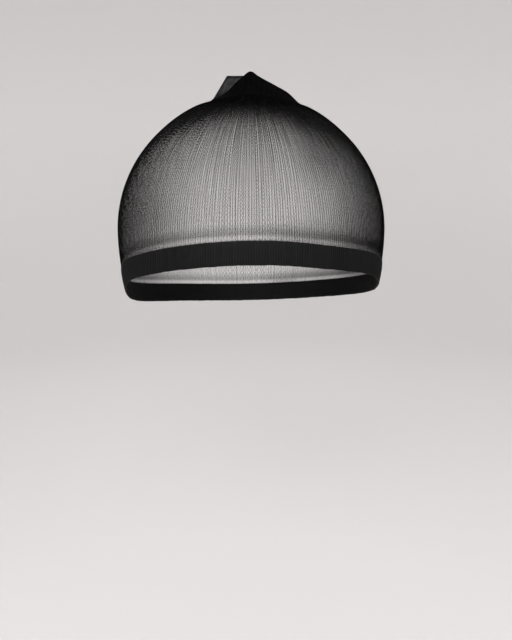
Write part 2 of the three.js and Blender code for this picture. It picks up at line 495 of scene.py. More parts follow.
class Flow:
    """A value in a material that changes over the surface, for sums written as Python."""

    def __init__(self, recipe: "Recipe", socket: bpy.types.NodeSocket) -> None:
        """Wrap a socket.

        Args:
            recipe: The material that the socket belongs to.
            socket: The socket that gives the value.
        """
        self.recipe = recipe
        self.socket = socket

    def _math(self, operation: str, *values: "Flow | float") -> "Flow":
        """Add a Math node.

        Args:
            operation: What the node does.
            values: What it works on.

        Returns:
            The node's result.
        """
        return self.recipe.add("ShaderNodeMath", {"operation": operation}, *values)[0]

    def __add__(self, other: "Flow | float") -> "Flow":
        """Add another value."""
        return self._math("ADD", self, other)

    def __radd__(self, other: float) -> "Flow":
        """Add to a number."""
        return self._math("ADD", other, self)

    def __sub__(self, other: "Flow | float") -> "Flow":
        """Take away another value."""
        return self._math("SUBTRACT", self, other)

    def __rsub__(self, other: float) -> "Flow":
        """Take away from a number."""
        return self._math("SUBTRACT", other, self)

    def __mul__(self, other: "Flow | float") -> "Flow":
        """Multiply by another value."""
        return self._math("MULTIPLY", self, other)

    def __rmul__(self, other: float) -> "Flow":
        """Multiply a number."""
        return self._math("MULTIPLY", other, self)

    def held(self) -> "Flow":
        """Keep the value from 0 to 1."""
        return self._math("MINIMUM", self._math("MAXIMUM", self, 0.0), 1.0)

    def rise(self, low: float, high: float) -> "Flow":
        """Rise smoothly from 0 to 1 between two values.

        Args:
            low: Where the rise starts.
            high: Where it ends.

        Returns:
            The share.
        """
        settings = {"interpolation_type": "SMOOTHSTEP", "data_type": "FLOAT"}
        return self.recipe.add("ShaderNodeMapRange", settings, self, low, high, 0.0, 1.0)[0]


class Recipe:
    """A material that is being made."""

    def __init__(self, name: str) -> None:
        """Start a material.

        Args:
            name: Its name.
        """
        self.material = bpy.data.materials.new(name)
        self.material.use_nodes = True
        self.nodes = self.material.node_tree.nodes
        self.links = self.material.node_tree.links
        self.nodes.clear()

    def feed(self, socket: bpy.types.NodeSocket, value: object) -> None:
        """Set a socket to a constant, or link a flow into it.

        Args:
            socket: The socket.
            value: A number, a colour, a vector or a flow.
        """
        if isinstance(value, Flow):
            self.links.new(value.socket, socket)
        else:
            socket.default_value = value

    def add(self, kind: str, settings: dict[str, object], *values: object, **named: object) -> list[Flow]:
        """Add a node.

        Args:
            kind: The node's type.
            settings: Its settings, which are set first.
            values: What its first inputs are fed with, in order. None leaves one as it is.
            named: What inputs are fed with by name, with _ for a space.

        Returns:
            Its outputs.
        """
        node = self.nodes.new(kind)
        for setting, value in settings.items():
            setattr(node, setting, value)
        for socket, value in zip(node.inputs, values):
            if value is not None:
                self.feed(socket, value)
        for socket_name, value in named.items():
            self.feed(node.inputs[socket_name.replace("_", " ")], value)
        return [Flow(self, socket) for socket in node.outputs]

    def mark(self, name: str) -> Flow:
        """Read a value that is marked on the mesh's points."""
        return self.add("ShaderNodeAttribute", {"attribute_name": name})[2]

    def place(self) -> Flow:
        """Give the place of each point in the cap's frame."""
        return self.add("ShaderNodeTexCoord", {})[3]

    def stretched(self, place: Flow, x: float, y: float, z: float) -> Flow:
        """Scale places along each axis.

        Args:
            place: The places.
            x: The scale across the cap.
            y: The scale along it.
            z: The scale up it.

        Returns:
            The scaled places.
        """
        return self.add("ShaderNodeVectorMath", {"operation": "MULTIPLY"}, place, (x, y, z))[0]

    def noise(self, place: Flow, scale: float, detail: float = 2.0) -> Flow:
        """Give even noise from 0 to 1.

        Args:
            place: The places.
            scale: How many patches there are to a metre.
            detail: How much finer noise is laid over it.

        Returns:
            The noise.
        """
        return self.add("ShaderNodeTexNoise", {}, Vector=place, Scale=scale, Detail=detail)[0]

    def blended(self, share: Flow, first: Colour, second: Colour) -> Flow:
        """Blend two colours.

        Args:
            share: How much of the second there is.
            first: The first colour.
            second: The second colour.

        Returns:
            The blend.
        """
        unused = [None] * 5
        colours = [(*colour, 1.0) for colour in (first, second)]
        return self.add("ShaderNodeMix", {"data_type": "RGBA"}, share, *unused, *colours)[2]

    def bump(self, height: Flow, strength: float, distance: float) -> Flow:
        """Turn a height into a surface direction.

        Args:
            height: The height, from 0 to 1.
            strength: How much of it shows.
            distance: How tall it is.

        Returns:
            The direction for a Normal socket.
        """
        return self.add("ShaderNodeBump", {}, Strength=strength, Distance=distance, Height=height)[0]

    def finished(self, **inputs: object) -> bpy.types.Material:
        """End the material with a Principled shader.

        Args:
            inputs: What its sockets are fed with, by name, with _ for a space.

        Returns:
            The material.
        """
        shader = self.add("ShaderNodeBsdfPrincipled", {}, **inputs)[0]
        self.add("ShaderNodeOutputMaterial", {}, shader)
        return self.material


@dataclass(frozen=True)
class YarnFinish:
    """Black nylon yarn, fine and matt, with painted shade that darkens it towards the gather."""

    name: str
    dark: Colour = (0.0013, 0.0013, 0.0014)
    light: Colour = (0.008, 0.0078, 0.0078)
    # How strongly the colour darkens towards the gather: painted shade in the gathered pleats.
    deep: float = 1.6
    patches: float = 900.0
    roughness: float = 0.75
    roughness_spread: float = 0.2
    gloss: float = 0.0

    def material(self) -> bpy.types.Material:
        """Make the material.

        Returns:
            The material.
        """
        recipe = Recipe(self.name)
        uneven = recipe.noise(recipe.place(), self.patches)
        # The noise is random tone; the darkening by the gathered mark is painted shade in the pleats.
        tone_with_gather_shade = (uneven * (1.0 - self.deep * recipe.mark("gathered"))).held()
        return recipe.finished(
            Base_Color=recipe.blended(tone_with_gather_shade, self.dark, self.light),
            Roughness=self.roughness + self.roughness_spread * (uneven - 0.5),
            Specular_IOR_Level=self.gloss,
        )


@dataclass(frozen=True)
class FilmFinish:
    """The sheer web of fine yarn between the wales, denser by the band and towards the gather, with cover
    raised on the cap's left as painted shade and towards its sides as partly denser knit and partly painted
    shade.
    """

    name: str
    dark: Colour = (0.0013, 0.0013, 0.0013)
    pale: Colour = (0.0075, 0.0072, 0.0070)
    # How strongly the colour darkens towards the gather: painted shade in the gathered pleats.
    deep: float = 1.6
    least: float = 0.020
    stripe: float = 0.20
    # The weights on the cap's left raise the cover there as painted shade on the side away from the key
    # light.
    stripe_left: float = 0.16
    line_left: float = 0.28
    line_clearer: float = 0.18
    stripe_start: float = 0.0015
    stripe_middle: float = 0.0034
    stripe_end: float = 0.0088
    stripe_end_left: float = 0.0145
    gathered: float = 0.90
    # The sides and rim weights are partly denser knit and partly painted shade where the form turns away
    # from the light.
    sides: float = 0.20
    rim: float = 0.14
    left_side: float = 0.045
    upper: float = 0.07
    upper_left: float = 0.16
    top: float = 0.04
    top_left: float = 0.07
    uneven: float = 0.03
    left_span: Span = (0.0, 0.030)
    far_left_span: Span = (0.018, 0.040)
    upper_span: Span = (-0.060, -0.010)
    shoulder_span: Span = (-0.060, -0.025)
    top_span: Span = (-0.030, -0.010)
    sides_span: Span = (0.35, 1.0)
    rim_span: Span = (0.72, 0.96)
    streaks_level: float = 260.0
    streaks_upright: float = 30.0
    streaks_middle: float = 0.45
    grain: float = 1400.0
    roughness: float = 0.8
    roughness_spread: float = 0.2
    gloss: float = 0.0

    def material(self) -> bpy.types.Material:
        """Make the material.

        Returns:
            The material.
        """
        recipe = Recipe(self.name)
        place = recipe.place()
        above = recipe.mark("above_band")
        gather = recipe.mark("gathered")
        sideways = recipe.mark("sideways")
        across, _, up = recipe.add("ShaderNodeSeparateXYZ", {}, place)
        left_shade_mask = across.rise(*self.left_span)
        far_left_shade_mask = across.rise(*self.far_left_span)
        stretched = recipe.stretched(place, self.streaks_level, self.streaks_level, self.streaks_upright)
        streaks = recipe.noise(stretched, 1.0, 3.0)
        grain = recipe.noise(place, self.grain)
        past_line = above.rise(self.stripe_start, self.stripe_middle)
        stripe = past_line * (1.0 - above.rise(self.stripe_middle, self.stripe_end))
        wider = past_line * (1.0 - above.rise(self.stripe_middle, self.stripe_end_left))
        line = 1.0 - past_line
        # The terms on the cap's left are painted shade; the sides and rim terms are partly denser knit and
        # partly painted shade.
        dense = (
            self.least * past_line
            + self.stripe * stripe
            + self.stripe_left * left_shade_mask * wider
            + (self.line_left - self.line_clearer * far_left_shade_mask) * left_shade_mask * line
            + self.gathered * gather
            + self.sides * sideways.rise(*self.sides_span)
            + (self.rim + self.left_side * far_left_shade_mask) * sideways.rise(*self.rim_span)
            + self.upper * up.rise(*self.upper_span)
            + self.upper_left * far_left_shade_mask * up.rise(*self.shoulder_span)
            + (self.top + self.top_left * left_shade_mask) * up.rise(*self.top_span)
            + self.uneven * (streaks - self.streaks_middle)
        )
        return recipe.finished(
            # The colour darkens towards the gather as painted shade; the grain is random tone.
            Base_Color=recipe.blended((grain * (1.0 - self.deep * gather)).held(), self.dark, self.pale),
            Roughness=self.roughness + self.roughness_spread * (grain - 0.5),
            Specular_IOR_Level=self.gloss,
            Alpha=dense.held(),
        )


@dataclass(frozen=True)
class WeltFinish:
    """Dense ribbed knit of the doubled band, with its loops in the relief, and painted shade that darkens
    the grooves between the ribs.
    """

    name: str
    dark: Colour = (0.0010, 0.0010, 0.0011)
    light: Colour = (0.0058, 0.0058, 0.0060)
    loop_pitch: float = 0.0006
    loop_height: float = 0.00012
    loop_blend: float = 0.4
    loop_strength: float = 0.5
    patches: float = 420.0
    base: float = -0.1
    # How much darker the grooves are than the rib crests: painted shade.
    rib_shade_weight: float = 0.55
    patch_weight: float = 0.6
    roughness: float = 0.75
    roughness_spread: float = 0.25
    gloss: float = 0.06

    def material(self) -> bpy.types.Material:
        """Make the material.

        Returns:
            The material.
        """
        recipe = Recipe(self.name)
        place = recipe.place()
        loops = recipe.add(
            "ShaderNodeTexVoronoi",
            {"feature": "SMOOTH_F1"},
            Vector=place,
            Scale=1 / self.loop_pitch,
            Smoothness=self.loop_blend,
        )[0]
        uneven = recipe.noise(place, self.patches, 3.0)
        # The rib mark darkens the grooves as painted shade; the noise is random tone.
        share = (self.base + self.rib_shade_weight * recipe.mark("rib") + self.patch_weight * uneven).held()
        return recipe.finished(
            Base_Color=recipe.blended(share, self.dark, self.light),
            Roughness=self.roughness + self.roughness_spread * (uneven - 0.5),
            Specular_IOR_Level=self.gloss,
            Normal=recipe.bump(1.0 - loops, self.loop_strength, self.loop_height),
        )


@dataclass(frozen=True)
class RuffleFinish:
    """Many layers of gathered black knit, soft and matt."""

    name: str
    dark: Colour = (0.0004, 0.0004, 0.0004)
    light: Colour = (0.0013, 0.0013, 0.0015)
    wale_pitch: float = 0.0006
    wale_height: float = 0.00010
    wale_strength: float = 0.4
    wale_waver: float = 1.5
    patches: float = 300.0
    roughness: float = 0.85
    roughness_spread: float = 0.15
    gloss: float = 0.01

    def material(self) -> bpy.types.Material:
        """Make the material.

        Returns:
            The material.
        """
        recipe = Recipe(self.name)
        place = recipe.place()
        uneven = recipe.noise(place, self.patches, 4.0)
        wales = recipe.add(
            "ShaderNodeTexWave",
            {"wave_type": "BANDS", "bands_direction": "X"},
            Vector=place,
            Scale=math.pi / (10 * self.wale_pitch),
            Distortion=self.wale_waver,
            Detail=2.0,
        )[1]
        return recipe.finished(
            Base_Color=recipe.blended(uneven, self.dark, self.light),
            Roughness=self.roughness + self.roughness_spread * (uneven - 0.5),
            Specular_IOR_Level=self.gloss,
            Normal=recipe.bump(wales, self.wale_strength, self.wale_height),
        )


@dataclass(frozen=True)
class FlapFinish:
    """One folded layer of sheer knit that lets some light through."""

    name: str
    dark: Colour = (0.0015, 0.0015, 0.0017)
    light: Colour = (0.005, 0.005, 0.0053)
    thin: float = 0.74
    thick: float = 1.0
    clouds: float = 330.0
    cloud_weight: float = 2.2
    cloud_middle: float = 0.48
    roughness: float = 0.8
    roughness_spread: float = 0.2
    gloss: float = 0.03

    def material(self) -> bpy.types.Material:
        """Make the material.

        Returns:
            The material.
        """
        recipe = Recipe(self.name)
        clouds = recipe.noise(recipe.place(), self.clouds, 3.0)
        thickness = recipe.mark("near_edge") + self.cloud_weight * (clouds - self.cloud_middle)
        dense = self.thin + (self.thick - self.thin) * thickness.held()
        return recipe.finished(
            Base_Color=recipe.blended(clouds, self.dark, self.light),
            Roughness=self.roughness + self.roughness_spread * (clouds - 0.5),
            Specular_IOR_Level=self.gloss,
            Alpha=dense.held(),
        )


@dataclass(frozen=True)
class StageFinish:
    """A plain pale backdrop, a little paler up its wall."""

    name: str
    low: Colour = (0.414, 0.405, 0.405)
    high: Colour = (0.512, 0.501, 0.500)
    low_level: float = -0.45
    high_level: float = 0.05
    roughness: float = 0.9
    gloss: float = 0.1

    def material(self) -> bpy.types.Material:
        """Make the material.

        Returns:
            The material.
        """
        recipe = Recipe(self.name)
        up = recipe.add("ShaderNodeSeparateXYZ", {}, recipe.place())[2]
        return recipe.finished(
            Base_Color=recipe.blended(up.rise(self.low_level, self.high_level), self.low, self.high),
            Roughness=self.roughness,
            Specular_IOR_Level=self.gloss,
        )


def place_piece(made: bpy.types.Object, finish: bpy.types.Material) -> bpy.types.Object:
    """Dress a piece of the cap and let it ride on the cap.

    Args:
        made: The piece.
        finish: Its material.

    Returns:
        The piece.
    """
    made.data.materials.append(finish)
    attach(made, "root")
    log.info("%s: %d faces", made.name, len(made.data.polygons))
    return made


@dataclass
class Crown:
    """The sheer dome: a film of fine yarn, its upright wales and its level courses."""

    form: CapForm
    gather: Gather
    edge_gap: float = 0.0001
    film_outside: float = 0.00085
    film_inside: float = 0.00065
    film_rows: int = 48
    film_steps: int = 384
    wales: int = 372
    wale_rows: int = 107
    wale_half_width: float = 0.00009
    wale_thicker_top: float = 0.5
    wale_finer_sides: float = 0.35
    wale_unlike: float = 0.17
    wale_half_depth: float = 0.00015
    wale_crowding: float = 0.42
    wale_crowding_depth: float = 0.672
    wale_top: float = 0.93
    slack_span: Span = (0.1, 0.7)
    finer_span: Span = (0.35, 0.85)
    zigzag_low: float = 0.05
    zigzag_front: float = 0.14
    zigzag_back: float = 0.32
    stray_front: float = 0.05
    stray_back: float = 0.18
    stray_top: float = 2.2
    stray_own: float = 0.8
    stray_waves: float = 0.35
    waves: int = 3
    seam_thinning: float = 0.2
    seam_span: Span = (0.0018, 0.003)
    course_half_height: float = 0.00002
    course_half_depth: float = 0.00004
    course_steps: int = 192
    course_top: float = 0.90
    course_waver: float = 0.25
    course_waves: int = 5
    gathered_span: Span = (0.018, 0.075)
    middle: float = 0.00075
    flat_around: float = 0.36
    flat_length: float = 0.15
    film_finish: FilmFinish = FilmFinish("sheer_film")
    yarn_finish: YarnFinish = YarnFinish("nylon_yarn")

    def latitude(self, azimuth: Array, share: Array) -> Array:
        """Give the latitude a share of the way from the band's upper edge to the top.

        Args:
            azimuth: The angles round the cap.
            share: The shares, 0 at the band.

        Returns:
            The latitudes.
        """
        lowest = self.form.latitude_above_hem(azimuth, self.form.band_height + self.edge_gap)
        return lowest + (math.pi / 2 - lowest) * share

    def surface(self, azimuth: Array, latitude: Array, grown: float) -> Array:
        """Give points of the pleated cloth.

        Args:
            azimuth: The angles round the cap.
            latitude: The latitudes.
            grown: How far outside the inner form.

        Returns:
            The points.
        """
        lift = self.gather.lift(azimuth, self.form.point(azimuth, latitude, 0))
        return self.form.point(azimuth, latitude, grown + lift)

    def gathered(self, points: Array) -> Array:
        """Give how gathered the cloth is at its points, from 0 to 1."""
        reached = np.hypot(points[:, 0] - self.gather.shift, points[:, 1] - self.gather.setback)
        return (1 - smooth_rise(reached, *self.gathered_span)) ** 2

    def marks(self, points: Array) -> dict[str, Array]:
        """Give the values that the film's finish reads from its points.

        Args:
            points: The points, by x, y and z.

        Returns:
            How far each lies above the band, how gathered it is, and how far it faces sideways.
        """
        along = np.where(points[:, 1] < 0, self.form.front, self.form.back)
        azimuth = np.arctan2(points[:, 1] / along, points[:, 0] / self.form.half_width)
        latitude = np.arcsin(np.clip((points[:, 2] + self.form.rise) / self.form.rise, -1, 1))
        edge = self.form.latitude_above_hem(azimuth, self.form.band_height)
        above = np.linalg.norm(points - self.form.point(azimuth, edge, self.middle), axis=1)
        return {
            "above_band": above,
            "gathered": self.gathered(points),
            "sideways": np.abs(self.form.outward(azimuth, latitude)[:, 0]),
        }

    def build_film(self) -> bpy.types.Object:
        """Make the film as a closed thin wall.

        Returns:
            The film.
        """
        azimuth = np.linspace(0, 2 * math.pi, self.film_steps, endpoint=False)[None, :]
        share = (np.arange(self.film_rows) / self.film_rows)[:, None]
        latitude = self.latitude(azimuth, share)
        outside = self.surface(azimuth, latitude, self.film_outside)[::-1]
        inside = self.surface(azimuth, latitude, self.film_inside)
        top = np.array([0.0]), np.array([math.pi / 2])
        tips = (
            self.form.point(*top, self.film_outside)[0],
            self.form.point(*top, self.film_inside)[0],
        )
        shape = lofted(np.concatenate([outside, inside]), tips=tips)
        shape.marks = self.marks(shape.points)
        return shape.to_object("crown_film")

    def build_wales(self, side: Side, chance: np.random.Generator) -> bpy.types.Object:
        """Make the upright wales of one half of the crown.

        Args:
            side: Which half.
            chance: Where unevenness comes from.

        Returns:
            The wales as one object.
        """
        half = self.wales // 2
        front = side is Side.FRONT
        pitch = 2 * math.pi / self.wales
        share = np.linspace(0, self.wale_top, self.wale_rows)[None, :]
        own = (math.pi if front else 0.0) + (np.arange(half) + 0.5)[:, None] * pitch
        bend = chance.normal(0, 1, (half, self.waves))
        waves = sum(
            bend[:, [k]] * np.sin(share * math.pi * (2 * k + 1.5) + bend[:, [(k + 1) % self.waves]] * 2)
            for k in range(self.waves)
        )
        to_and_fro = np.where(np.arange(self.wale_rows) % 2 == 0, 1.0, -1.0)
        turns = to_and_fro * chance.choice([-1.0, 1.0], (half, 1))
        slack = smooth_rise(share, *self.slack_span)
        if front:
            zigzag = (self.zigzag_low + (self.zigzag_front - self.zigzag_low) * slack) * turns
            stray = self.stray_front * (1 + self.stray_top * slack)
        else:
            zigzag = self.zigzag_back * turns
            stray = self.stray_back
        own_stray = chance.normal(0, 1, (half, 1)).clip(-2, 2)
        strayed = stray * (self.stray_own * own_stray + self.stray_waves * waves)
        azimuth = own + pitch * (zigzag + strayed)
        latitude = self.latitude(azimuth, share)
        middles = self.surface(azimuth, latitude, self.middle)
        before = self.form.point(azimuth - pitch / 2, latitude, 0)
        after = self.form.point(azimuth + pitch / 2, latitude, 0)
        room = np.linalg.norm(after - before, axis=-1)
        above = np.linalg.norm(middles - middles[:, :1], axis=-1)
        seam = 1 - self.seam_thinning * (1 - smooth_rise(above, *self.seam_span))
        unlike = 1 + self.wale_unlike * chance.normal(0, 1, (half, 1)).clip(-2, 2)
        outward = self.form.outward(azimuth, latitude)
        finer = 1 - self.wale_finer_sides * smooth_rise(np.abs(outward[..., 0]), *self.finer_span)
        thickness = unlike * (1 + self.wale_thicker_top * slack) * finer
        wide = np.minimum(self.wale_half_width * thickness * seam, self.wale_crowding * room)
        deep = np.minimum(self.wale_half_depth * finer * seam, self.wale_crowding_depth * room)
        shape = strands(middles, self.form.around(azimuth, latitude), outward, wide, deep, False)
        shape.marks = {"gathered": self.gathered(shape.points)}
        return shape.to_object(f"crown_wales_{side.value}")

    def build_courses(self, chance: np.random.Generator) -> bpy.types.Object:
        """Make the level courses as thin rings.

        Args:
            chance: Where unevenness comes from.

        Returns:
            The courses as one object.
        """
        azimuth = np.linspace(0, 2 * math.pi, self.course_steps, endpoint=False)[None, :]
        step = self.wale_top / (self.wale_rows - 1)
        level = np.arange(2 * step, self.course_top, step)[:, None]
        turns = chance.integers(3, 24, (self.course_waves, len(level), 1))
        starts = chance.uniform(0, 2 * math.pi, (self.course_waves, len(level), 1))
        waver = np.sin(azimuth * turns + starts).sum(axis=0) / math.sqrt(self.course_waves)
        share = level + step * self.course_waver * waver
        latitude = self.latitude(azimuth, share)
        middles = self.surface(azimuth, latitude, self.middle)
        outward = self.form.outward(azimuth, latitude)
        upward = np.cross(outward, np.broadcast_to(self.form.around(azimuth, latitude), outward.shape))
        shape = strands(
            middles, unit(upward), outward, self.course_half_height, self.course_half_depth, True
        )
        shape.marks = {"gathered": self.gathered(shape.points)}
        return shape.to_object("crown_courses")

    def build(self) -> None:
        chance = np.random.default_rng(11)
        yarn = self.yarn_finish.material()
        film = place_piece(self.build_film(), self.film_finish.material())
        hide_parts("crown")
        knit = [self.build_wales(side, chance) for side in Side]
        knit.append(self.build_courses(chance))
        for piece in knit:
            place_piece(piece, yarn)


@dataclass
class Band:
    """The doubled welt round the open edge: two ribbed leaves joined by a fold at the hem."""

    form: CapForm
    ribs: int = 372
    steps_per_rib: int = 4
    rib_depth: float = 0.00028
    rib_spread: float = 0.25
    rib_least: float = 0.4
    outside: float = 0.0016
    leaf_wall: float = 0.0004
    inner_rib_share: float = 0.5
    fold_round: float = 0.0008
    edge_round: float = 0.0003
    waver: float = 0.00012
    waver_turns: tuple[int, ...] = (17, 29, 43, 61, 97)
    waver_top: float = 0.4
    flat_around: float = 0.40
    ribs_per_stitch: int = 2
    seam_rise: float = 0.0006
    seam_outside: float = 0.0011
    seam_half_width: float = 0.00011
    finish: WeltFinish = WeltFinish("band_welt_knit")
    # The seam yarn is coloured far paler than the black yarn as a painted highlight along the seam's ridge.
    seam_highlight_finish: YarnFinish = YarnFinish("seam_yarn_painted_highlight", dark=(0.012, 0.012, 0.012), light=(0.05, 0.049, 0.048))

    def section(self) -> Array:
        """Give the section's points: height up the band, distance out, and how much ribs show, in relief and
        as painted shade in their grooves.

        Returns:
            One row for each point, from the top of the outer leaf round the hem to the inner leaf
            and back.
        """
        top = self.form.band_height
        under_top = top - self.edge_round
        out = self.outside
        wall = self.leaf_wall
        fold = self.fold_round
        outer_back = out - wall - self.rib_depth
        outer_leaf = [
            (top, out - wall * 1.3, 0.0),
            (top, out - wall * 0.9, 0.6),
            (under_top, out - wall * 0.6, 1.0),
            (top * 0.8, out - wall * 0.2, 1.0),
            (top * 0.5, out, 1.0),
            (top * 0.25, out, 1.0),
            (fold, out, 1.0),
        ]
        turns = [math.radians(angle) for angle in (20, 45, 70, 90, 110, 135, 160)]
        centre = out / 2
        hem = [
            (fold * (1 - math.sin(turn)), centre * (1 + math.cos(turn)), 0.8 * abs(math.cos(turn)))
            for turn in turns
        ]
        inner_share = self.inner_rib_share
        inner_leaf = [
            (fold, 0.0, inner_share),
            (top * 0.25, 0.0, inner_share),
            (top * 0.5, 0.0, inner_share),
            (top * 0.8, 0.0, inner_share),
            (under_top, 0.0, inner_share),
            (top, wall * 0.3, 0.3),
            (top, wall * 0.7, 0.0),
            (under_top, wall, 0.0),
            (top * 0.5, wall, 0.0),
            (fold + wall * 1.2, wall, 0.0),
            (fold + wall * 0.5, centre, 0.0),
            (fold + wall * 1.2, outer_back, 0.0),
            (top * 0.5, outer_back, 0.0),
            (under_top, outer_back - wall * 0.5, 0.0),
        ]
        return np.array(outer_leaf + hem + inner_leaf)

    def build_welt(self, chance: np.random.Generator) -> bpy.types.Object:
        """Make the welt.

        Args:
            chance: Where unevenness comes from.

        Returns:
            The welt as one object.
        """
        steps = self.ribs * self.steps_per_rib
        azimuth = np.linspace(0, 2 * math.pi, steps, endpoint=False)
        rib = (1 + np.cos(azimuth * self.ribs)) / 2
        unlike = np.repeat(chance.normal(0, 1, self.ribs).clip(-2, 2), self.steps_per_rib)
        strength = 1 + self.rib_spread * unlike
        phases = chance.uniform(0, 2 * math.pi, len(self.waver_turns))
        waves = [np.sin(azimuth * turns + phase) for turns, phase in zip(self.waver_turns, phases)]
        waver = self.waver * np.mean(waves, axis=0)
        rings = []
        rib_shade_shares = []
        for height, grown, shown in self.section():
            lifted = waver * (1 if height < self.form.band_height / 2 else self.waver_top)
            latitude = self.form.latitude_above_hem(azimuth, max(height, 0.0))
            shift = lifted / self.form.rise
            sunk = self.rib_depth * (1 - rib * strength.clip(self.rib_least, 1)) * shown
            away = grown - sunk if grown > self.outside / 2 else grown + sunk
            rings.append(self.form.point(azimuth, latitude + shift, away))
            # The rib wave is marked for the welt's painted shade between the ribs.
            rib_shade_shares.append(rib * strength * shown)
        shape = lofted(np.stack(rings), joined=True)
        shape.marks = {"rib": np.stack(rib_shade_shares).ravel()}
        return shape.to_object("band_welt")

    def build_seam(self) -> bpy.types.Object:
        """Make the stitches that join the crown to the band, as one zigzag yarn.

        Returns:
            The stitches.
        """
        swing = np.tile([0.0, 1.0, 0.0, -1.0], self.ribs // self.ribs_per_stitch)
        azimuth = np.linspace(0, 2 * math.pi, len(swing), endpoint=False)[None, :]
        latitude = self.form.latitude_above_hem(azimuth, self.form.band_height)
        latitude = latitude + swing * self.seam_rise / self.form.rise
        middles = self.form.point(azimuth, latitude, self.seam_outside)
        outward = self.form.outward(azimuth, latitude)
        along = np.roll(middles, -1, axis=1) - np.roll(middles, 1, axis=1)
        across = unit(np.cross(outward, along))
        shape = strands(middles, across, outward, self.seam_half_width, self.seam_half_width, True)
        return shape.to_object("seam_stitches")

    def build(self) -> None:
        welt = place_piece(self.build_welt(np.random.default_rng(5)), self.finish.material())
        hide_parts("band")
        seam = place_piece(self.build_seam(), self.seam_highlight_finish.material())


RUFFLE_COLUMNS = ("along", "main", "ahead", "rear", "behind")
RUFFLE_SECTIONS = (
    (0.00, 0.06, 0.30, 0.05, 0.30),
    (0.07, 0.10, 0.36, 0.07, 0.34),
    (0.13, 0.13, 0.38, 0.08, 0.40),
    (0.21, 0.36, 0.41, 0.08, 0.44),
    (0.28, 0.64, 0.46, 0.10, 0.46),
    (0.37, 0.88, 0.42, 0.16, 0.44),
    (0.43, 1.13, 0.30, 0.40, 0.40),
    (0.52, 0.86, 0.25, 0.60, 0.44),
    (0.63, 0.66, 0.30, 0.50, 0.52),
    (0.75, 0.48, 0.46, 0.33, 0.44),
    (0.86, 0.35, 0.42, 0.18, 0.34),
    (0.94, 0.15, 0.36, 0.07, 0.30),
    (1.00, 0.01, 0.30, 0.01, 0.30),
)


